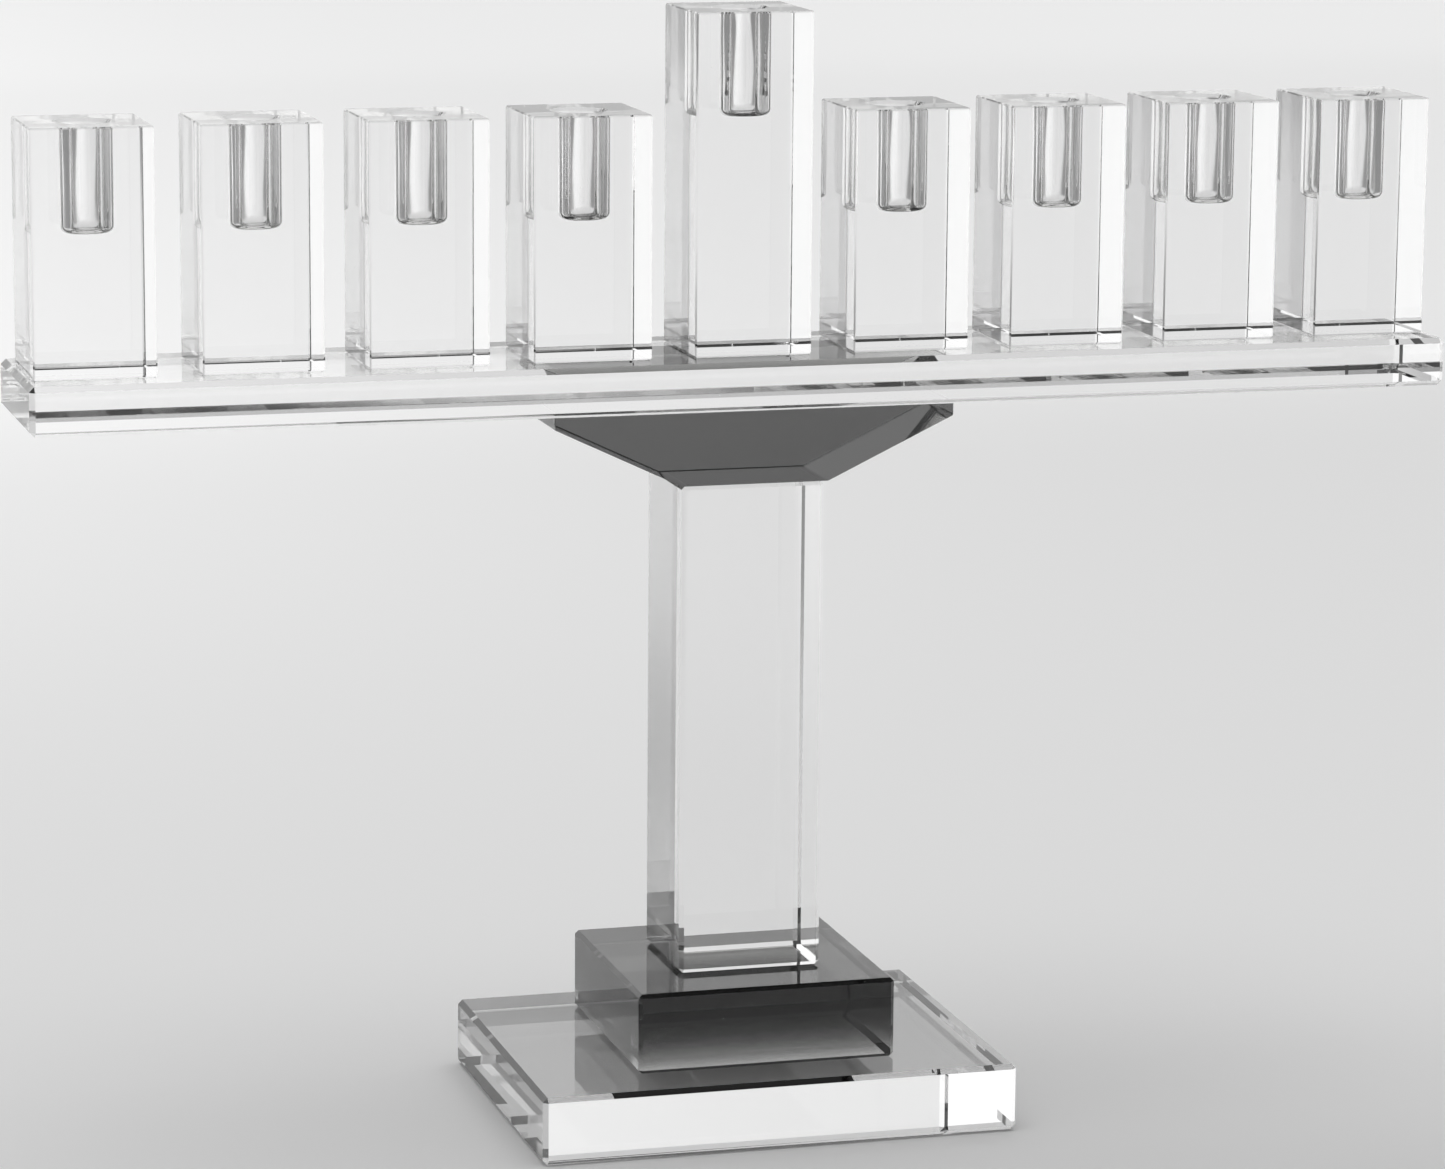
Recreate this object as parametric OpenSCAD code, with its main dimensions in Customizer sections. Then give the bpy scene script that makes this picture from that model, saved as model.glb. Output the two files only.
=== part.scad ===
/* Nine-light menorah of glued optical-crystal blocks.
   Nine candle blocks stand in a row on a crossbar. The middle one, the shamash, is taller.
   The crossbar lies on a corbel, the corbel on a stem, and the stem on a stepped plinth of two slabs.
   Every joint is face to face, with a thin film of cured clear adhesive between the two pieces.
   Frame: +X runs along the row of lights, +Y to the back, +Z up.
   The origin is on the table, under the middle of the lower plinth. */

/* [Candle blocks] */
// Side of each square candle block
block_side = 25; // [24:0.5:28]
// Height of the eight side blocks
block_h = 50.4; // [40:0.2:60]
// Height of the taller shamash block in the middle
shamash_h = 71; // [62:0.2:80]
// Distance from one block's middle to the next
block_pitch = 34.2; // [32:0.1:38]
// Width of the polished edges of a block
block_edge = 0.4; // [0.2:0.1:0.8]

/* [Candle bores] */
// Diameter of a candle bore
bore_d = 10.8; // [10:0.1:12]
// Depth of a candle bore, from the block's top face
bore_depth = 22; // [16:1:30]
// Width of the countersink round a bore's mouth
mouth_edge = 0.7; // [0.3:0.1:1]
// Radius of the corner between a bore's wall and its floor
floor_r = 1.5; // [0.5:0.5:3]

/* [Crossbar] */
// Length of the crossbar
bar_l = 302.6; // [300:0.2:340]
// Depth of the crossbar, front to back
bar_d = 41; // [36:0.2:48]
// Thickness of the crossbar
bar_h = 10.2; // [8:0.1:14]
// Width of the polished edges of the crossbar
bar_edge = 1.1; // [0.6:0.1:1.5]

/* [Corbel] */
// Width of the corbel at its top
corbel_top_w = 85.8; // [70:0.1:100]
// Width of the corbel at its foot
corbel_foot_w = 31.6; // [30:0.1:40]
// Depth of the corbel, front to back
corbel_d = 30; // [28:0.5:36]
// Height of the corbel
corbel_h = 16; // [12:0.1:22]
// Height of the upright end below the corbel's top
corbel_end_h = 3.2; // [2:0.1:6]
// Width of the polished edges of the corbel
corbel_edge = 0.3; // [0.2:0.1:0.8]
// Width of the polished edges along the corbel's slopes
corbel_slope_edge = 0.5; // [0.4:0.1:0.9]

/* [Stem] */
// Width of the stem
stem_w = 30.8; // [28:0.1:33]
// Depth of the stem, front to back
stem_d = 27.6; // [26:0.1:33]
// Height of the stem
stem_h = 104.3; // [80:0.1:140]
// Width of the polished edges of the stem
stem_edge = 0.9; // [0.4:0.1:1.2]

/* [Plinth] */
// Width of the upper plinth
upper_w = 55.6; // [50:0.2:70]
// Depth of the upper plinth
upper_d = 55.2; // [50:0.2:70]
// Height of the upper plinth
upper_h = 17.1; // [14:0.1:22]
// Width of the polished edges of the upper plinth
upper_edge = 0.8; // [0.4:0.1:1.5]
// Width of the lower plinth
lower_w = 102.4; // [90:0.2:130]
// Depth of the lower plinth
lower_d = 79; // [74:0.5:100]
// Height of the lower plinth
lower_h = 14.4; // [12:0.1:20]
// Width of the polished edges of the lower plinth
lower_edge = 1; // [0.5:0.1:1.5]

/* [Adhesive] */
// Thickness of the cured adhesive in each joint
film_t = 0.1; // [0.05:0.05:0.2]
// How far the adhesive stops short of the edge of a joint
film_inset = 0.3; // [0.1:0.1:1]

/* [Hidden] */
$fn = 96;
// The eight side blocks, counted from the left, four on each side of the shamash
SIDE_PLACES = [-4, -3, -2, -1, 1, 2, 3, 4];

// Colours
clear = [0.9, 0.93, 0.94, 0.45];
smoke = [0.2, 0.2, 0.21, 0.85];
film = [0.96, 0.95, 0.9, 0.6];

// Heights of the joints, from the table up. Each film lies between two of them.
upper_z = lower_h + film_t;
stem_z = upper_z + upper_h + film_t;
corbel_z = stem_z + stem_h + film_t;
bar_z = corbel_z + corbel_h + film_t;
block_z = bar_z + bar_h + film_t;

// A rectangle of size w by h about the origin, with its four corners cut off at 45 degrees
module cut_rectangle(w, h, edge) {
    polygon([
        [-w / 2 + edge, -h / 2],
        [w / 2 - edge, -h / 2],
        [w / 2, -h / 2 + edge],
        [w / 2, h / 2 - edge],
        [w / 2 - edge, h / 2],
        [-w / 2 + edge, h / 2],
        [-w / 2, h / 2 - edge],
        [-w / 2, -h / 2 + edge]
    ]);
}

// A block of size w by d by h that stands on z = 0, with all twelve edges cut at 45 degrees
module edged_block(w, d, h, edge) {
    translate([0, 0, h / 2])
        intersection() {
            linear_extrude(height = h, center = true)
                cut_rectangle(w, d, edge);
            rotate([90, 0, 0])
                linear_extrude(height = d, center = true)
                    cut_rectangle(w, h, edge);
            rotate([90, 0, 90])
                linear_extrude(height = w, center = true)
                    cut_rectangle(d, h, edge);
        }
}

// The hollow of a blind candle bore, with its floor at z = 0 and its mouth at z = bore_depth.
// It has a rounded floor corner and a countersunk mouth, and runs 1 mm past the mouth.
module bore_hollow() {
    bore_r = bore_d / 2;
    past = 1;
    cylinder(h = bore_depth + past, r = bore_r - floor_r);
    translate([0, 0, floor_r])
        cylinder(h = bore_depth - floor_r + past, r = bore_r);
    rotate_extrude()
        translate([bore_r - floor_r, floor_r])
            circle(r = floor_r);
    translate([0, 0, bore_depth - mouth_edge])
        cylinder(h = mouth_edge, r1 = bore_r, r2 = bore_r + mouth_edge);
    translate([0, 0, bore_depth])
        cylinder(h = past, r = bore_r + mouth_edge);
}

// A candle block of height h, at a place counted from the middle of the row
module candle_block(place, h) {
    color(clear)
        translate([place * block_pitch, 0, block_z])
            difference() {
                edged_block(block_side, block_side, h, block_edge);
                translate([0, 0, h - bore_depth])
                    bore_hollow();
            }
}

// The film of adhesive in the joint whose underside is at z, at a distance x from the middle.
// It is as large as the smaller face of the joint, w by d, less the inset all round.
module bond(x, z, w, d) {
    color(film)
        translate([x - w / 2 + film_inset, -d / 2 + film_inset, z])
            cube([w - 2 * film_inset, d - 2 * film_inset, film_t]);
}

module block_bond(place) {
    face = block_side - 2 * block_edge;
    bond(place * block_pitch, block_z - film_t, face, face);
}

module crossbar() {
    color(clear)
        translate([0, 0, bar_z])
            edged_block(bar_l, bar_d, bar_h, bar_edge);
}

// A wide slab that lies on the right-hand slope of the corbel, with the slope's two long edges cut
module slope_slab() {
    run = (corbel_top_w - corbel_foot_w) / 2;
    rise = corbel_h - corbel_end_h;
    reach = 2 * corbel_top_w;
    translate([corbel_foot_w / 2, 0, 0])
        rotate([0, -atan2(rise, run), 0])
            rotate([90, 0, 90])
                linear_extrude(height = 2 * reach, center = true)
                    translate([0, reach / 2])
                        cut_rectangle(corbel_d, reach, corbel_slope_edge);
}

// The corbel: upright ends below a flat top, then slopes in to a flat foot
module corbel() {
    color(smoke)
        translate([0, 0, corbel_z])
            intersection() {
                edged_block(corbel_top_w, corbel_d, corbel_h, corbel_edge);
                slope_slab();
                mirror([1, 0, 0])
                    slope_slab();
            }
}

module stem() {
    color(clear)
        translate([0, 0, stem_z])
            edged_block(stem_w, stem_d, stem_h, stem_edge);
}

module upper_plinth() {
    color(smoke)
        translate([0, 0, upper_z])
            edged_block(upper_w, upper_d, upper_h, upper_edge);
}

module lower_plinth() {
    color(clear)
        edged_block(lower_w, lower_d, lower_h, lower_edge);
}

module bond_crossbar_corbel() {
    bond(0, bar_z - film_t, corbel_top_w - 2 * corbel_edge, corbel_d - 2 * corbel_edge);
}

module bond_corbel_stem() {
    bond(0, corbel_z - film_t, stem_w - 2 * stem_edge, stem_d - 2 * stem_edge);
}

module bond_stem_plinth() {
    bond(0, stem_z - film_t, stem_w - 2 * stem_edge, stem_d - 2 * stem_edge);
}

module bond_plinths() {
    bond(0, upper_z - film_t, upper_w - 2 * upper_edge, upper_d - 2 * upper_edge);
}

for (i = [0 : 7]) {
    candle_block(SIDE_PLACES[i], block_h);
    block_bond(SIDE_PLACES[i]);
}
candle_block(0, shamash_h);  // shamash_block
block_bond(0);  // bond_shamash
crossbar();
corbel();
stem();
upper_plinth();
lower_plinth();
bond_crossbar_corbel();
bond_corbel_stem();
bond_stem_plinth();
bond_plinths();
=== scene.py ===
"""Looks of the nine-light crystal menorah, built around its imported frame."""
import logging
import math
import random
from dataclasses import dataclass, field
from enum import Enum
from typing import Iterable

import bmesh
import bpy
from mathutils import Matrix, Vector


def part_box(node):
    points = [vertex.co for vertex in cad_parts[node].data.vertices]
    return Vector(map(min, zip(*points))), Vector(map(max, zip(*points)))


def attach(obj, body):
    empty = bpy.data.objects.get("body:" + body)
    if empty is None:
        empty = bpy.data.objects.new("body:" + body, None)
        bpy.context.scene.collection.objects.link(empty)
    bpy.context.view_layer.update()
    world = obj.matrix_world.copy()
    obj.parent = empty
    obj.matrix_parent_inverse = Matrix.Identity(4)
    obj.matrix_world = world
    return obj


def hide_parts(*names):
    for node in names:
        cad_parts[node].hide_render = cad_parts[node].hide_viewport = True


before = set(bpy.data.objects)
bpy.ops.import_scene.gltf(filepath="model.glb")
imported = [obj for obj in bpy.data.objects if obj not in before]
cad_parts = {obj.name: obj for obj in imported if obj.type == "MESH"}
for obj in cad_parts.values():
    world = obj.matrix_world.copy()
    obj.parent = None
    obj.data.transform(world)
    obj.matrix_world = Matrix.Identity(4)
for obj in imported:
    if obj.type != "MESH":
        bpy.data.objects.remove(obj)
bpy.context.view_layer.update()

MM = 0.001
BODY = "root"
SEED = 18
LOG = logging.getLogger("menorah")


class Crystal(Enum):
    """The record's slots for the two kinds of crystal."""

    CLEAR = "clear_crystal"
    SMOKE = "smoke_crystal"


class Slot(Enum):
    """Where a crystal mesh keeps each of its finishes."""

    POLISHED = 0
    DRILLED = 1


# The mesh layer that marks bonded faces, and the refractive indices on the two sides of such a face
BONDED_LAYER = "bonded"
GLASS_IOR = 1.545
GLUE_IOR = 1.53

# The films of adhesive between the larger pieces, and the record's slot for all films
ADHESIVE_SLOT = "adhesive"
UNDER_CROSSBAR = "bond_crossbar_corbel"
UNDER_CORBEL = "bond_corbel_stem"
UNDER_STEM = "bond_stem_plinth"
BETWEEN_PLINTHS = "bond_plinths"

WHITE = (1.0, 1.0, 1.0, 1.0)
BLACK = (0.0, 0.0, 0.0, 1.0)

# The width of the camera's sensor, in millimetres
SENSOR_W = 36.0


# ---------------------------------------------------------------- node helpers


class NodeBench:
    """A node tree with short calls for adding and joining nodes."""

    def __init__(self, tree: bpy.types.NodeTree) -> None:
        """Clears the tree and keeps it.

        Args:
            tree: the node tree to build in.
        """
        tree.nodes.clear()
        self.tree = tree

    def add(self, kind: str, **values: object) -> bpy.types.Node:
        """Adds a node and sets its properties and plain inputs.

        Args:
            kind: the node's type name.
            values: node properties, or inputs by name with spaces as underscores.

        Returns:
            The new node.
        """
        node = self.tree.nodes.new(kind)
        for key, value in values.items():
            if hasattr(node, key):
                setattr(node, key, value)
            else:
                node.inputs[key.replace("_", " ")].default_value = value
        return node

    def join(self, source: bpy.types.NodeSocket, target: bpy.types.NodeSocket) -> None:
        """Links one socket to another."""
        self.tree.links.new(source, target)

    def math(self, operation: str, first: object, second: object = 0.0) -> bpy.types.NodeSocket:
        """Adds a math node.

        Args:
            operation: the node's operation.
            first: a socket or a number.
            second: a socket or a number.

        Returns:
            The node's output socket.
        """
        node = self.tree.nodes.new("ShaderNodeMath")
        node.operation = operation
        for place, value in enumerate((first, second)):
            if isinstance(value, bpy.types.NodeSocket):
                self.join(value, node.inputs[place])
            else:
                node.inputs[place].default_value = value
        return node.outputs[0]

    def spread(self, value: bpy.types.NodeSocket, low: float, high: float,
               to_low: float = 0.0, to_high: float = 1.0) -> bpy.types.NodeSocket:
        """Maps a stretch of values to another, smoothly and within its limits.

        Args:
            value: the socket to map.
            low: where the stretch starts.
            high: where the stretch ends.
            to_low: the result at its start.
            to_high: the result at its end.

        Returns:
            The mapped socket.
        """
        node = self.tree.nodes.new("ShaderNodeMapRange")
        node.interpolation_type = "SMOOTHSTEP"
        self.join(value, node.inputs["Value"])
        for name, number in (("From Min", low), ("From Max", high), ("To Min", to_low), ("To Max", to_high)):
            node.inputs[name].default_value = number
        return node.outputs["Result"]

    def texture(self, kind: str, place: bpy.types.NodeSocket, **values: object) -> bpy.types.Node:
        """Adds a texture node that is read at the given coordinates.

        Args:
            kind: the node's type name.
            place: the coordinates.
            values: node properties, or inputs by name with spaces as underscores.

        Returns:
            The new node.
        """
        node = self.add(kind, **values)
        self.join(place, node.inputs["Vector"])
        return node

    def glass(self, tint: tuple[float, float, float], ior: float) -> bpy.types.Node:
        """Adds a shader that light passes through.

        Args:
            tint: its colour.
            ior: how strongly it bends light.

        Returns:
            The shader node.
        """
        shader = self.add("ShaderNodeBsdfPrincipled")
        shader.inputs["Base Color"].default_value = (*tint, 1.0)
        shader.inputs["Transmission Weight"].default_value = 1.0
        shader.inputs["IOR"].default_value = ior
        return shader

    def surface(self, shader: bpy.types.Node, kind: str = "ShaderNodeOutputMaterial") -> bpy.types.Node:
        """Adds the tree's output node and joins a shader to its surface.

        Args:
            shader: the shader node.
            kind: the output node's type name.

        Returns:
            The output node.
        """
        out = self.add(kind)
        self.join(shader.outputs[0], out.inputs["Surface"])
        return out


def start_material(name: str) -> tuple[bpy.types.Material, NodeBench, bpy.types.NodeSocket]:
    """Adds a material with an empty node tree.

    Args:
        name: the material's name.

    Returns:
        The material, its nodes, and the coordinates on the piece.
    """
    made = bpy.data.materials.new(name)
    made.use_nodes = True
    bench = NodeBench(made.node_tree)
    return made, bench, bench.add("ShaderNodeTexCoord").outputs["Object"]


def place_in_scene(name: str, data: bpy.types.ID) -> bpy.types.Object:
    """Adds an object to the scene.

    Args:
        name: the object's name.
        data: its mesh, light or camera.

    Returns:
        The object.
    """
    made = bpy.data.objects.new(name, data)
    bpy.context.scene.collection.objects.link(made)
    return made


# ---------------------------------------------------------------- finishes


@dataclass(frozen=True)
class Wear:
    """The faint marks on a polished face: smears that a cloth leaves, and specks of dust.

    Args:
        patches: the scale of the patches that hold smears, per metre.
        patch_span: the noise levels between which a patch fades in.
        strokes: the scale of the cloth's strokes along each axis, per metre.
        stroke_turn: how the strokes are turned about each axis, in radians.
        stroke_span: the noise levels between which a stroke fades in.
        between: how strong a smear is between its strokes.
        cells: the scale of the cells that can hold a speck, per metre.
        speck_r: the radius of the largest speck, as a share of its cell.
        speck_haze: the roughness that a speck adds.
    """

    patches: float = 55.0
    patch_span: tuple[float, float] = (0.5, 0.78)
    strokes: tuple[float, float, float] = (60.0, 60.0, 520.0)
    stroke_turn: tuple[float, float, float] = (0.3, 0.5, 0.2)
    stroke_span: tuple[float, float] = (0.42, 0.7)
    between: float = 0.25
    cells: float = 420.0
    speck_r: float = 0.06
    speck_haze: float = 0.6

    def smears(self, bench: NodeBench, place: bpy.types.NodeSocket) -> bpy.types.NodeSocket:
        """The marks that a cloth leaves.

        Args:
            bench: the material's nodes.
            place: the coordinates on the piece.

        Returns:
            The marks' strength, from 0 to 1.
        """
        cloud = bench.texture("ShaderNodeTexNoise", place, Scale=self.patches, Detail=5.0, Roughness=0.62,
                              Distortion=0.8)
        stretch = bench.texture("ShaderNodeMapping", place)
        stretch.inputs["Scale"].default_value = self.strokes
        stretch.inputs["Rotation"].default_value = self.stroke_turn
        streak = bench.texture("ShaderNodeTexNoise", stretch.outputs[0], Scale=1.0, Detail=3.0, Roughness=0.5,
                               Distortion=1.4)
        return bench.math("MULTIPLY", bench.spread(cloud.outputs[0], *self.patch_span),
                          bench.spread(streak.outputs[0], *self.stroke_span, self.between, 1.0))

    def dust(self, bench: NodeBench, place: bpy.types.NodeSocket, share: float) -> bpy.types.NodeSocket:
        """Round specks of dust.

        Args:
            bench: the material's nodes.
            place: the coordinates on the piece.
            share: the share of cells that hold a speck.

        Returns:
            1 on a speck and 0 beside it.
        """
        cells = bench.texture("ShaderNodeTexVoronoi", place, Scale=self.cells, Randomness=1.0)
        pick = bench.add("ShaderNodeSeparateColor")
        bench.join(cells.outputs["Color"], pick.inputs[0])
        chosen = bench.math("LESS_THAN", pick.outputs[0], share)
        size = bench.math("MULTIPLY", pick.outputs[1], self.speck_r)
        dot = bench.math("LESS_THAN", cells.outputs["Distance"], size)
        return bench.math("MULTIPLY", chosen, dot)


@dataclass(frozen=True)
class CrystalFinish:
    """Ground and polished optical crystal.

    Args:
        name: the material's name.
        ior: how strongly it bends light, against air.
        bonded_ior: how strongly it bends light where it is bonded, against the adhesive.
        tint: the colour of the glass.
        density: how fast it darkens with depth, per metre. 0 is clear.
        haze: the roughness of a wiped face at its cleanest.
        smear: how much roughness the faint wipe marks add.
        specks: the share of dust cells that hold a speck.
        rings: the depth of a drill's fine rings, in metres. 0 is a face that wasn't drilled.
        wear: the pattern of its wipe marks and specks.
    """

    name: str
    ior: float = GLASS_IOR
    bonded_ior: float = GLASS_IOR / GLUE_IOR
    tint: tuple[float, float, float] = (1.0, 1.0, 1.0)
    density: float = 0.0
    haze: float = 0.0
    smear: float = 0.004
    specks: float = 0.05
    rings: float = 0.0
    wear: Wear = Wear()

    def material(self) -> bpy.types.Material:
        """Makes the material on first use.

        Returns:
            The material.
        """
        known = bpy.data.materials.get(self.name)
        if known:
            return known
        made, bench, place = start_material(self.name)
        shader = bench.glass(self.tint, self.ior)
        bonded = bench.add("ShaderNodeAttribute", attribute_name=BONDED_LAYER).outputs["Fac"]
        bench.join(bench.spread(bonded, 0.0, 1.0, self.ior, self.bonded_ior), shader.inputs["IOR"])
        bench.join(self._roughness(bench, place), shader.inputs["Roughness"])
        if self.rings:
            bench.join(self._ringed(bench, place), shader.inputs["Normal"])
        out = bench.surface(shader)
        if self.density:
            absorb = bench.add("ShaderNodeVolumeAbsorption", Density=self.density)
            absorb.inputs["Color"].default_value = BLACK
            bench.join(absorb.outputs[0], out.inputs["Volume"])
        return made

    def _roughness(self, bench: NodeBench, place: bpy.types.NodeSocket) -> bpy.types.NodeSocket:
        """The roughness of the glass, with its wipe marks and dust.

        Args:
            bench: the material's nodes.
            place: the coordinates on the piece.

        Returns:
            The roughness socket.
        """
        smears = self.wear.smears(bench, place)
        specks = self.wear.dust(bench, place, self.specks)
        wiped = bench.math("MULTIPLY_ADD", smears, self.smear)
        wiped.node.inputs[2].default_value = self.haze
        whole = bench.math("MULTIPLY_ADD", specks, self.wear.speck_haze)
        bench.join(wiped, whole.node.inputs[2])
        return whole

    def _ringed(self, bench: NodeBench, place: bpy.types.NodeSocket) -> bpy.types.NodeSocket:
        """The fine rings that a drill leaves on the wall of a bore.

        Args:
            bench: the material's nodes.
            place: the coordinates on the piece.

        Returns:
            The normal socket.
        """
        wave = bench.texture("ShaderNodeTexWave", place, wave_type="BANDS", bands_direction="Z",
                             Scale=380.0, Distortion=3.0, Detail=3.0, Detail_Scale=1.5)
        bump = bench.add("ShaderNodeBump", Strength=1.0, Distance=self.rings)
        bench.join(wave.outputs[1], bump.inputs["Height"])
        return bump.outputs[0]


@dataclass(frozen=True)
class AdhesiveFinish:
    """Cured clear adhesive, which lies between two bonded faces and hardly bends light there.

    Args:
        name: the material's name.
        ior: how strongly it bends light, against the glass.
        tint: its colour.
        cloud: its roughness where it is cloudiest.
        grain: the scale of the cloudy spots, per metre.
        grain_span: the noise levels between which a spot fades in.
    """

    name: str = "cured_adhesive"
    ior: float = 1.001
    tint: tuple[float, float, float] = (0.96, 0.96, 0.95)
    cloud: float = 0.12
    grain: float = 900.0
    grain_span: tuple[float, float] = (0.45, 0.8)

    def material(self) -> bpy.types.Material:
        """Makes the material on first use.

        Returns:
            The material.
        """
        known = bpy.data.materials.get(self.name)
        if known:
            return known
        made, bench, place = start_material(self.name)
        noise = bench.texture("ShaderNodeTexNoise", place, Scale=self.grain, Detail=2.0)
        shader = bench.glass(self.tint, self.ior)
        rough = bench.spread(noise.outputs[0], *self.grain_span, 0.0, self.cloud)
        bench.join(rough, shader.inputs["Roughness"])
        bench.surface(shader)
        return made


POLISHED = {
    Crystal.CLEAR: CrystalFinish("clear_crystal_polished", specks=0.03),
    Crystal.SMOKE: CrystalFinish("smoke_crystal_polished", density=66.0),
}
DRILLED = CrystalFinish("clear_crystal_drilled", haze=0.004, smear=0.01, rings=1e-7)
ADHESIVE = AdhesiveFinish()


# ---------------------------------------------------------------- meshes


@dataclass(frozen=True)
class Patch:
    """A rectangle on a flat top or foot face, where another piece is bonded on.

    Args:
        low: its lowest corner, of which x and y count.
        high: its highest corner, of which x and y count.
        top: True on the top face, False on the foot.
    """

    low: Vector
    high: Vector
    top: bool

    def holds(self, point: Vector) -> bool:
        """True if the point is within the rectangle, seen from above."""
        return self.low.x < point.x < self.high.x and self.low.y < point.y < self.high.y


def patch_of(film: str, top: bool) -> Patch:
    """The patch that a film of adhesive covers on one of its two pieces.

    Args:
        film: the film's frame node.
        top: True where the film lies on the piece's top, False where it is under its foot.

    Returns:
        The patch.
    """
    low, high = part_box(film)
    return Patch(low, high, top)


def edged_box(low: Vector, high: Vector, edge: float) -> bmesh.types.BMesh:
    """Builds a box with all its edges cut at 45 degrees.

    Args:
        low: its lowest corner.
        high: its highest corner.
        edge: the width that each cut takes off a face.

    Returns:
        The mesh in progress.
    """
    work = bmesh.new()
    middle, size = (low + high) / 2, high - low
    bmesh.ops.create_cube(work, size=1.0, matrix=Matrix.Translation(middle) @ Matrix.Diagonal((*size, 1.0)))
    cut_edges(work, edge)
    return work


def cut_edges(work: bmesh.types.BMesh, width: float) -> None:
    """Cuts every edge of a block flat.

    Args:
        work: the block.
        width: the width that each cut takes off a face.
    """
    bmesh.ops.bevel(work, geom=work.edges[:], offset=width, offset_type="OFFSET",
                    segments=1, profile=0.5, affect="EDGES", clamp_overlap=True)


def level_faces(work: bmesh.types.BMesh, height: float) -> list[bmesh.types.BMFace]:
    """The flat faces of a mesh that lie at one height.

    Args:
        work: the mesh.
        height: the height.

    Returns:
        The faces.
    """
    near = 1e-6
    return [f for f in work.faces if all(abs(v.co.z - height) < near for v in f.verts)]


def mark_patch(work: bmesh.types.BMesh, height: float, patch: Patch) -> None:
    """Cuts a patch's outline into the face at one height and gives it the bonded finish.

    Args:
        work: the mesh.
        height: where the face lies.
        patch: the rectangle to mark.
    """
    same_place = 1e-7
    for point, normal in ((patch.low, (1, 0, 0)), (patch.high, (1, 0, 0)),
                          (patch.low, (0, 1, 0)), (patch.high, (0, 1, 0))):
        faces = level_faces(work, height)
        edges = list(dict.fromkeys(e for f in faces for e in f.edges))
        verts = list(dict.fromkeys(v for f in faces for v in f.verts))
        bmesh.ops.bisect_plane(work, geom=faces + edges + verts, dist=same_place,
                               plane_co=(point.x, point.y, height), plane_no=normal)
    layer = work.faces.layers.float.get(BONDED_LAYER)
    for face in level_faces(work, height):
        if patch.holds(face.calc_center_median()):
            face[layer] = 1.0


@dataclass
class Piece:
    """One shown piece: its mesh, its finishes, and the frame node that it stands for.

    Args:
        node: the frame node.
        slot: the record's material slot; it is not used.
        finishes: the materials, in the order of the mesh's slots.
    """

    node: str
    slot: str
    finishes: list[bpy.types.Material]

    def show(self, work: bmesh.types.BMesh, prefix: str) -> bpy.types.Object:
        """Turns a finished mesh into the shown piece.

        Args:
            work: the mesh in progress, which is freed.
            prefix: what the piece's name starts with.

        Returns:
            The new object.
        """
        bmesh.ops.recalc_face_normals(work, faces=work.faces[:])
        mesh = bpy.data.meshes.new(f"{prefix}_{self.node}")
        work.to_mesh(mesh)
        work.free()
        for finish in self.finishes:
            mesh.materials.append(finish)
        shown = place_in_scene(mesh.name, mesh)
        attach(shown, BODY)
        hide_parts(self.node)
        LOG.info("%s stands for %s: %d faces", shown.name, self.node, len(mesh.polygons))
        return shown


# ---------------------------------------------------------------- sub-assemblies


@dataclass
class CrystalSlab:
    """A plain slab or post of crystal with cut edges.

    Args:
        node: its frame node.
        crystal: clear or smoke.
        edge: the width of its cut edges.
        patches: where other pieces are bonded to it.
    """

    node: str
    crystal: Crystal
    edge: float
    patches: list[Patch] = field(default_factory=list)

    def finishes(self) -> list[bpy.types.Material]:
        """The slab's materials, in slot order."""
        return [POLISHED[self.crystal].material(), DRILLED.material()]

    def shape(self) -> bmesh.types.BMesh:
        """The slab's outer shape."""
        return edged_box(*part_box(self.node), self.edge)

    def build(self) -> bpy.types.Object:
        """Builds the slab.

        Returns:
            The slab.
        """
        low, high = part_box(self.node)
        work = self.shape()
        work.faces.layers.float.new(BONDED_LAYER)
        for patch in self.patches:
            mark_patch(work, high.z if patch.top else low.z, patch)
        return Piece(self.node, self.crystal.value, self.finishes()).show(work, "crystal")


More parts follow.
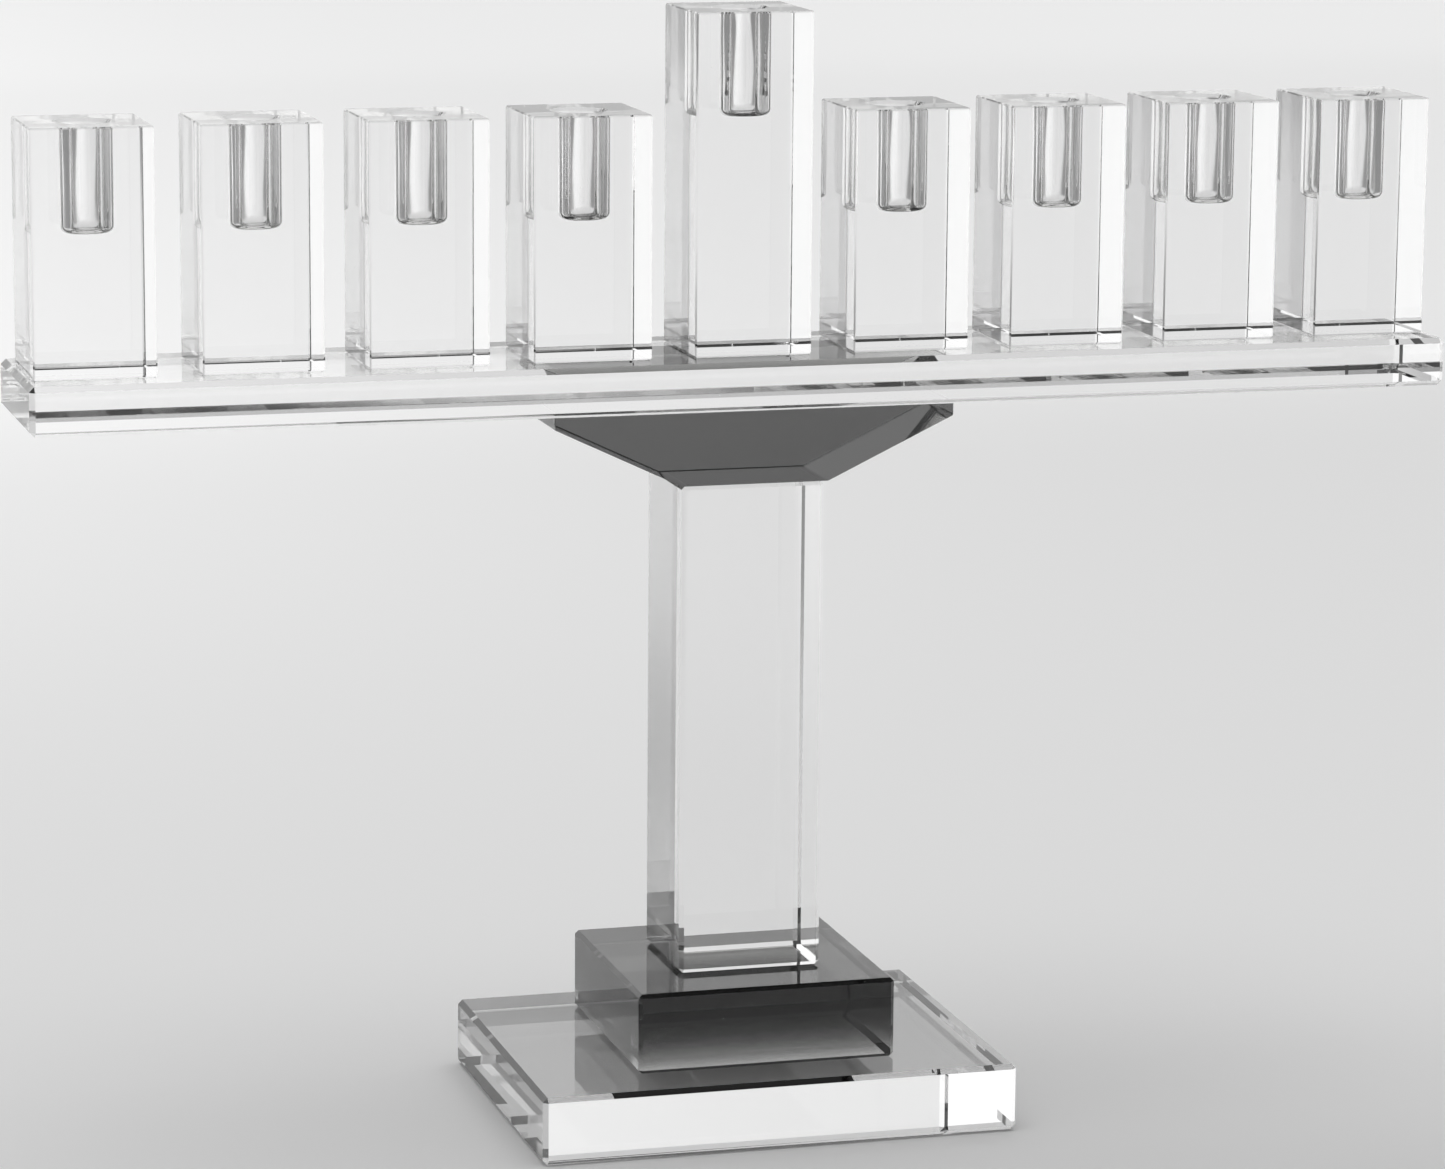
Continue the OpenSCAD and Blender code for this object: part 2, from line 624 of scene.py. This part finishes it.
@dataclass
class CandleBlock(CrystalSlab):
    """A square block with a blind bore for a candle.

    Args:
        bore_r: the bore's radius.
        depth: the bore's depth.
        mouth: the width of the countersink.
        floor_r: the radius of the corner round the bore's floor.
        sides: how many facets go round the bore.
    """

    bore_r: float = 5.4 * MM
    depth: float = 22 * MM
    mouth: float = 0.7 * MM
    floor_r: float = 1.5 * MM
    sides: int = 160

    def profile(self, top: float) -> list[tuple[float, float]]:
        """The bore's outline from its mouth to its floor, as radius and height.

        Args:
            top: the height of the block's top face.

        Returns:
            The points.
        """
        steps = 8
        middle_r, middle_z = self.bore_r - self.floor_r, top - self.depth + self.floor_r
        points = [(self.bore_r + self.mouth, top), (self.bore_r, top - self.mouth)]
        for step in range(steps + 1):
            turn = math.pi / 2 * step / steps
            out, down = self.floor_r * math.cos(turn), self.floor_r * math.sin(turn)
            points.append((middle_r + out, middle_z - down))
        return points

    def shape(self) -> bmesh.types.BMesh:
        """The block with its bore.

        Returns:
            The mesh in progress.
        """
        low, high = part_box(self.node)
        work = edged_box(low, high, self.edge)
        middle = (low + high) / 2
        lid = level_faces(work, high.z)[0]
        rim = list(lid.edges)
        bmesh.ops.delete(work, geom=[lid], context="FACES_ONLY")
        turns = [2 * math.pi * i / self.sides for i in range(self.sides)]
        rings = []
        for radius, height in self.profile(high.z):
            circle = [(middle.x + radius * math.cos(t), middle.y + radius * math.sin(t)) for t in turns]
            rings.append([work.verts.new((x, y, height)) for x, y in circle])
        mouth = [work.edges.new((a, b)) for a, b in zip(rings[0], rings[0][1:] + rings[0][:1])]
        bmesh.ops.triangle_fill(work, edges=rim + mouth, use_beauty=True, normal=(0, 0, 1))
        for upper, lower in zip(rings, rings[1:]):
            for i in range(self.sides):
                j = (i + 1) % self.sides
                wall = work.faces.new((upper[i], upper[j], lower[j], lower[i]))
                wall.smooth = True
                wall.material_index = Slot.DRILLED.value
        floor = work.faces.new(rings[-1])
        floor.material_index = Slot.DRILLED.value
        neck = set(rings[1])
        for edge in mouth + [e for e in work.edges if all(v in neck for v in e.verts)]:
            edge.smooth = False
        return work


@dataclass
class Corbel(CrystalSlab):
    """The smoke bracket below the crossbar, with upright ends and a sloped underside.

    Args:
        foot_w: the width of its foot.
        end_h: the height of its upright ends.
    """

    foot_w: float = 31.6 * MM
    end_h: float = 3.2 * MM

    def shape(self) -> bmesh.types.BMesh:
        """The bracket's outline, drawn out from front to back, with its edges cut.

        Returns:
            The mesh in progress.
        """
        low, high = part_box(self.node)
        middle = (low.x + high.x) / 2
        end_z = high.z - self.end_h
        outline = [(middle - self.foot_w / 2, low.z), (middle + self.foot_w / 2, low.z),
                   (high.x, end_z), (high.x, high.z), (low.x, high.z), (low.x, end_z)]
        work = bmesh.new()
        front = work.faces.new([work.verts.new((x, low.y, z)) for x, z in outline])
        drawn = bmesh.ops.extrude_face_region(work, geom=[front])
        moved = [v for v in drawn["geom"] if isinstance(v, bmesh.types.BMVert)]
        bmesh.ops.translate(work, vec=(0, high.y - low.y, 0), verts=moved)
        bmesh.ops.recalc_face_normals(work, faces=work.faces[:])
        cut_edges(work, self.edge)
        return work


@dataclass
class BondFilm:
    """A film of cured adhesive, with the uneven edge that it had when it set.

    Args:
        node: its frame node.
        clear_of: the gap that keeps it off the two faces.
        wander: how far its edge wanders in.
        step: the distance between the edge's points.
        drift: how much the wander changes from one point to the next, as a share of its most.
        taper: how steeply the wander dies out towards a corner.
        fewest: the fewest steps on a side.
    """

    node: str
    clear_of: float = 0.01 * MM
    wander: float = 0.35 * MM
    step: float = 0.6 * MM
    drift: float = 0.28
    taper: float = 4.0
    fewest: int = 4

    def outline(self, low: Vector, high: Vector, dice: random.Random) -> list[tuple[float, float]]:
        """The film's uneven outline, seen from above.

        Args:
            low: the film's lowest corner.
            high: the film's highest corner.
            dice: the source of chance.

        Returns:
            The points, counter-clockwise.
        """
        points = []
        corners = [(low.x, low.y), (high.x, low.y), (high.x, high.y), (low.x, high.y)]
        inward = [(0, 1), (-1, 0), (0, -1), (1, 0)]
        for side, (start, end) in enumerate(zip(corners, corners[1:] + corners[:1])):
            length = math.dist(start, end)
            count = max(self.fewest, round(length / self.step))
            inset = 0.0
            for i in range(1, count):
                inset = min(1.0, max(0.0, inset + dice.uniform(-self.drift, self.drift)))
                share = i / count
                depth = self.wander * inset * min(1.0, self.taper * share, self.taper * (1 - share))
                points.append((start[0] + (end[0] - start[0]) * share + inward[side][0] * depth,
                               start[1] + (end[1] - start[1]) * share + inward[side][1] * depth))
        return points

    def build(self, dice: random.Random) -> bpy.types.Object:
        """Builds the film.

        Args:
            dice: the source of chance.

        Returns:
            The film.
        """
        low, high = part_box(self.node)
        work = bmesh.new()
        points = self.outline(low, high, dice)
        bottom = [work.verts.new((x, y, low.z + self.clear_of)) for x, y in points]
        top = [work.verts.new((x, y, high.z - self.clear_of)) for x, y in points]
        work.faces.new(bottom[::-1])
        work.faces.new(top)
        for i in range(len(points)):
            j = (i + 1) % len(points)
            work.faces.new((bottom[i], bottom[j], top[j], top[i]))
        return Piece(self.node, ADHESIVE_SLOT, [ADHESIVE.material()]).show(work, "film")


@dataclass
class CandleRow:
    """The nine candle blocks, each with the film of adhesive under it.

    Args:
        blocks: the block nodes, from the left, each with its film's node.
        edge: the width of a block's cut edges.
    """

    blocks: list[tuple[str, str]]
    edge: float = 0.3 * MM

    def build(self, dice: random.Random) -> None:
        """Builds every block and its film.

        Args:
            dice: the source of chance.
        """
        for block, film in self.blocks:
            CandleBlock(block, Crystal.CLEAR, self.edge, [patch_of(film, False)]).build()
            BondFilm(film).build(dice)


@dataclass
class Crossbar:
    """The long slab that the candle blocks stand on.

    Args:
        films: the films under the candle blocks.
        edge: the width of its cut edges.
    """

    films: list[str]
    edge: float = 1.1 * MM

    def build(self, dice: random.Random) -> None:
        """Builds the slab, and the film between it and the corbel.

        Args:
            dice: the source of chance.
        """
        patches = [patch_of(film, True) for film in self.films] + [patch_of(UNDER_CROSSBAR, False)]
        CrystalSlab("crossbar", Crystal.CLEAR, self.edge, patches).build()
        BondFilm(UNDER_CROSSBAR).build(dice)


@dataclass
class Pedestal:
    """The corbel, the stem and the two slabs of the plinth.

    Args:
        corbel_edge: the width of the corbel's cut edges.
        stem_edge: the width of the stem's.
        upper_edge: the width of the upper plinth's.
        lower_edge: the width of the lower plinth's.
    """

    corbel_edge: float = 0.15 * MM
    stem_edge: float = 0.9 * MM
    upper_edge: float = 0.8 * MM
    lower_edge: float = 1.0 * MM

    def build(self, dice: random.Random) -> None:
        """Builds the four pieces and the films between them.

        Args:
            dice: the source of chance.
        """
        Corbel("corbel", Crystal.SMOKE, self.corbel_edge,
               [patch_of(UNDER_CROSSBAR, True), patch_of(UNDER_CORBEL, False)]).build()
        CrystalSlab("stem", Crystal.CLEAR, self.stem_edge,
                    [patch_of(UNDER_CORBEL, True), patch_of(UNDER_STEM, False)]).build()
        CrystalSlab("upper_plinth", Crystal.SMOKE, self.upper_edge,
                    [patch_of(UNDER_STEM, True), patch_of(BETWEEN_PLINTHS, False)]).build()
        CrystalSlab("lower_plinth", Crystal.CLEAR, self.lower_edge,
                    [patch_of(BETWEEN_PLINTHS, True)]).build()
        for film in (UNDER_CORBEL, UNDER_STEM, BETWEEN_PLINTHS):
            BondFilm(film).build(dice)


# ---------------------------------------------------------------- studio


@dataclass(frozen=True)
class Wash:
    """A soft light that hangs flat over the floor and lights nothing else.

    Args:
        name: the light's name.
        left: where it starts, along X.
        right: where it ends, along X.
        near: where it starts, along Y.
        far: where it ends, along Y.
        strength: its power for each square metre, in watts.
        height: how high it hangs.
        spread: how wide it shines, in degrees.
    """

    name: str
    left: float
    right: float
    near: float
    far: float
    strength: float
    height: float = 0.28
    spread: float = 80.0

    def hang(self) -> bpy.types.Object:
        """Adds the light.

        Returns:
            The light.
        """
        data = bpy.data.lights.new(self.name, "AREA")
        data.shape = "RECTANGLE"
        data.size = self.right - self.left
        data.size_y = self.far - self.near
        data.energy = self.strength * data.size * data.size_y
        data.spread = math.radians(self.spread)
        data.use_shadow = False
        lamp = place_in_scene(self.name, data)
        lamp.location = ((self.left + self.right) / 2, (self.near + self.far) / 2, self.height)
        lamp.visible_transmission = False
        lamp.visible_glossy = False
        lamp.visible_camera = False
        return lamp


@dataclass(frozen=True)
class Sky:
    """The soft light of the room: a wide bright screen at the back, and a dim room round it.

    Angles are in degrees: elevation from level, and bearing from straight back towards the right.

    Args:
        screen_left: the bearings between which the screen fades in.
        screen_right: the bearings between which it fades out.
        screen_top: the elevations between which its top fades out.
        lift: how bright its upper part is, against its foot.
        lift_span: the elevations between which it brightens.
        box_low: the elevations between which the soft box over it fades in.
        box_high: the elevations between which the soft box fades out.
        box_level: how bright the soft box is, against the screen.
        level_left: how bright the screen is at its left.
        level_right: how bright the screen is at its right.
        level_span: the bearings between which it goes from one to the other.
        room_low: how bright the room is near the floor.
        room_high: how bright the room is overhead.
        room_span: the elevations between which it goes from one to the other.
        room_front: how bright the front of the room is, as a share of its back.
        turn_left: the bearings between which the left side goes from front to back.
        turn_right: the bearings between which the right side goes from back to front.
        fill: the even light that falls on the floor.
    """

    screen_left: tuple[float, float] = (-38.0, -24.0)
    screen_right: tuple[float, float] = (24.0, 66.0)
    screen_top: tuple[float, float] = (21.0, 25.5)
    lift: float = 1.05
    lift_span: tuple[float, float] = (9.5, 14.0)
    box_low: tuple[float, float] = (33.5, 35.5)
    box_high: tuple[float, float] = (40.0, 45.0)
    box_level: float = 1.1
    level_left: float = 0.88
    level_right: float = 0.62
    level_span: tuple[float, float] = (2.0, 20.0)
    room_low: float = 0.18
    room_high: float = 0.05
    room_span: tuple[float, float] = (19.0, 28.0)
    room_front: float = 0.5
    turn_left: tuple[float, float] = (-60.0, -30.0)
    turn_right: tuple[float, float] = (60.0, 110.0)
    fill: float = 0.3

    def hang(self) -> None:
        """Makes the world: the floor gets the even fill, and all else sees the pattern."""
        world = bpy.data.worlds.new("studio")
        bpy.context.scene.world = world
        world.use_nodes = True
        world.cycles.sampling_method = "NONE"
        bench = NodeBench(world.node_tree)
        way = bench.add("ShaderNodeTexCoord").outputs["Generated"]
        parts = bench.add("ShaderNodeSeparateXYZ")
        bench.join(way, parts.inputs[0])
        bearing = bench.math("ARCTAN2", parts.outputs["X"], parts.outputs["Y"])
        rise = bench.math("ARCSINE", parts.outputs["Z"])
        seen = bench.math("ADD", self._screen(bench, bearing, rise), self._room(bench, bearing, rise))
        path = bench.add("ShaderNodeLightPath")
        by_floor = bench.math("GREATER_THAN", path.outputs["Diffuse Depth"], 0.5)
        choice = bench.add("ShaderNodeMix", data_type="FLOAT")
        bench.join(by_floor, choice.inputs[0])
        bench.join(seen, choice.inputs[2])
        choice.inputs[3].default_value = self.fill
        shade = bench.add("ShaderNodeBackground")
        shade.inputs["Color"].default_value = WHITE
        bench.join(choice.outputs[0], shade.inputs["Strength"])
        bench.surface(shade, "ShaderNodeOutputWorld")

    def _screen(self, bench: NodeBench, bearing: bpy.types.NodeSocket,
                rise: bpy.types.NodeSocket) -> bpy.types.NodeSocket:
        """The brightness of the screen at the back and of the soft box over it.

        Args:
            bench: the world's nodes.
            bearing: the bearing, in radians.
            rise: the elevation, in radians.

        Returns:
            The brightness.
        """
        width = bench.math("MULTIPLY", self._fade(bench, bearing, self.screen_left, 0.0, 1.0),
                           self._fade(bench, bearing, self.screen_right, 1.0, 0.0))
        box = bench.math("MULTIPLY", self._fade(bench, rise, self.box_low, 0.0, self.box_level),
                         self._fade(bench, rise, self.box_high, 1.0, 0.0))
        lift = bench.math("MULTIPLY", self._fade(bench, rise, self.screen_top, 1.0, 0.0),
                          self._fade(bench, rise, self.lift_span, 1.0, self.lift))
        band = bench.math("MAXIMUM", lift, box)
        level = self._fade(bench, bearing, self.level_span, self.level_left, self.level_right)
        return bench.math("MULTIPLY", bench.math("MULTIPLY", width, band), level)

    def _room(self, bench: NodeBench, bearing: bpy.types.NodeSocket,
              rise: bpy.types.NodeSocket) -> bpy.types.NodeSocket:
        """The brightness of the dim room round the screen.

        Args:
            bench: the world's nodes.
            bearing: the bearing, in radians.
            rise: the elevation, in radians.

        Returns:
            The brightness.
        """
        turned = bench.math("MULTIPLY", self._fade(bench, bearing, self.turn_left, self.room_front, 1.0),
                            self._fade(bench, bearing, self.turn_right, 1.0, self.room_front))
        height = self._fade(bench, rise, self.room_span, self.room_low, self.room_high)
        return bench.math("MULTIPLY", height, turned)

    @staticmethod
    def _fade(bench: NodeBench, value: bpy.types.NodeSocket, ends: tuple[float, float],
              to_low: float, to_high: float) -> bpy.types.NodeSocket:
        """Fades smoothly between two angles.

        Args:
            bench: the world's nodes.
            value: the angle, in radians.
            ends: the angles where the fade starts and ends, in degrees.
            to_low: the result at its start.
            to_high: the result at its end.

        Returns:
            The faded value.
        """
        return bench.spread(value, math.radians(ends[0]), math.radians(ends[1]), to_low, to_high)


@dataclass
class Studio:
    """A plain pale floor in a soft, back-lit studio.

    Args:
        floor_side: the length of the floor's sides.
        floor_gap: how far it lies below the piece's foot, so that the two faces don't meet.
        floor_shade: its grey.
        floor_rough: its roughness.
        grain: the scale of its grain, per metre.
        grain_depth: the depth of its grain.
        sky: the light of the room.
        washes: the lights over the floor.
        bounces: how often light bounces in all, or passes through a face.
        glossy_bounces: how often it bounces off a polished face.
        floor_bounces: how often it bounces off the floor.
    """

    floor_side: float = 30.0
    floor_gap: float = 0.15 * MM
    floor_shade: float = 0.86
    floor_rough: float = 0.9
    grain: float = 900.0
    grain_depth: float = 0.02 * MM
    sky: Sky = field(default_factory=Sky)
    washes: tuple[Wash, ...] = (
        Wash("wash_front", -0.2, 0.9, -2.2, -0.42, 0.9),
        Wash("wash_near", -0.5, 0.7, -0.14, 0.9, 1.6),
        Wash("wash_middle", -1.0, 1.5, 0.9, 2.2, 1.95),
        Wash("wash_far", -2.2, 3.6, 2.2, 7.0, 2.1),
        Wash("wash_left", -1.0, 0.05, 0.5, 5.0, 0.8, 0.8),
    )
    bounces: int = 40
    glossy_bounces: int = 32
    floor_bounces: int = 3

    def floor(self) -> None:
        """Lays the floor."""
        work = bmesh.new()
        bmesh.ops.create_grid(work, x_segments=1, y_segments=1, size=self.floor_side / 2)
        bmesh.ops.translate(work, vec=(0, 0, -self.floor_gap), verts=work.verts[:])
        mesh = bpy.data.meshes.new("floor")
        work.to_mesh(mesh)
        work.free()
        made, bench, place = start_material("pale_floor")
        grain = bench.texture("ShaderNodeTexNoise", place, Scale=self.grain, Detail=2.0)
        shader = bench.add("ShaderNodeBsdfPrincipled", Roughness=self.floor_rough)
        shader.inputs["Base Color"].default_value = (self.floor_shade,) * 3 + (1.0,)
        shader.inputs["Specular IOR Level"].default_value = 0.0
        bump = bench.add("ShaderNodeBump", Strength=0.2, Distance=self.grain_depth)
        bench.join(grain.outputs[0], bump.inputs["Height"])
        bench.join(bump.outputs[0], shader.inputs["Normal"])
        bench.surface(shader)
        mesh.materials.append(made)
        ground = place_in_scene("floor", mesh)

    def build(self) -> None:
        """Builds the floor, the room's light and the washes, and sets how light is traced."""
        self.floor()
        self.sky.hang()
        for wash in self.washes:
            wash.hang()
        scene = bpy.context.scene
        scene.view_settings.view_transform = "Standard"
        cycles = scene.cycles
        cycles.max_bounces = self.bounces
        cycles.transmission_bounces = self.bounces
        cycles.glossy_bounces = self.glossy_bounces
        cycles.diffuse_bounces = self.floor_bounces
        cycles.caustics_reflective = True
        cycles.caustics_refractive = True


@dataclass
class Camera:
    """The camera: a long lens, from the front left and a little above.

    Args:
        place: where it stands.
        yaw: how far it looks to the right of straight back, in degrees.
        pitch: how far it looks down, in degrees.
        roll: how far it leans, in degrees.
        lens: the focal length in mm on a 36 mm wide sensor.
        nearest: the distance to the nearest thing that it shows.
    """

    place: tuple[float, float, float] = (-0.3001, -1.0405, 0.3245)
    yaw: float = 15.95
    pitch: float = 11.105
    roll: float = 0.44
    lens: float = 130.36
    nearest: float = 0.05

    def build(self) -> bpy.types.Object:
        """Adds the camera and makes it the scene's.

        Returns:
            The camera.
        """
        data = bpy.data.cameras.new("camera")
        data.lens = self.lens
        data.sensor_width = SENSOR_W
        data.clip_start = self.nearest
        made = place_in_scene("camera", data)
        turn = (Matrix.Rotation(math.radians(-self.yaw), 4, "Z")
                @ Matrix.Rotation(math.radians(90 - self.pitch), 4, "X")
                @ Matrix.Rotation(math.radians(self.roll), 4, "Z"))
        made.matrix_world = Matrix.Translation(self.place) @ turn
        bpy.context.scene.camera = made
        return made


def main() -> None:
    """Builds the camera, the studio and the menorah."""
    logging.basicConfig(level=logging.INFO, format="%(name)s: %(message)s")
    dice = random.Random(SEED)
    Camera().build()
    Studio().build()
    places = [f"block_{number}" for number in range(1, 9)]
    places.insert(len(places) // 2, "shamash")
    films = [f"bond_{place}" for place in places]
    blocks = ["shamash_block" if place == "shamash" else f"candle_{place}" for place in places]
    CandleRow(list(zip(blocks, films))).build(dice)
    Crossbar(films).build(dice)
    Pedestal().build(dice)


if __name__ == "__main__":
    main()
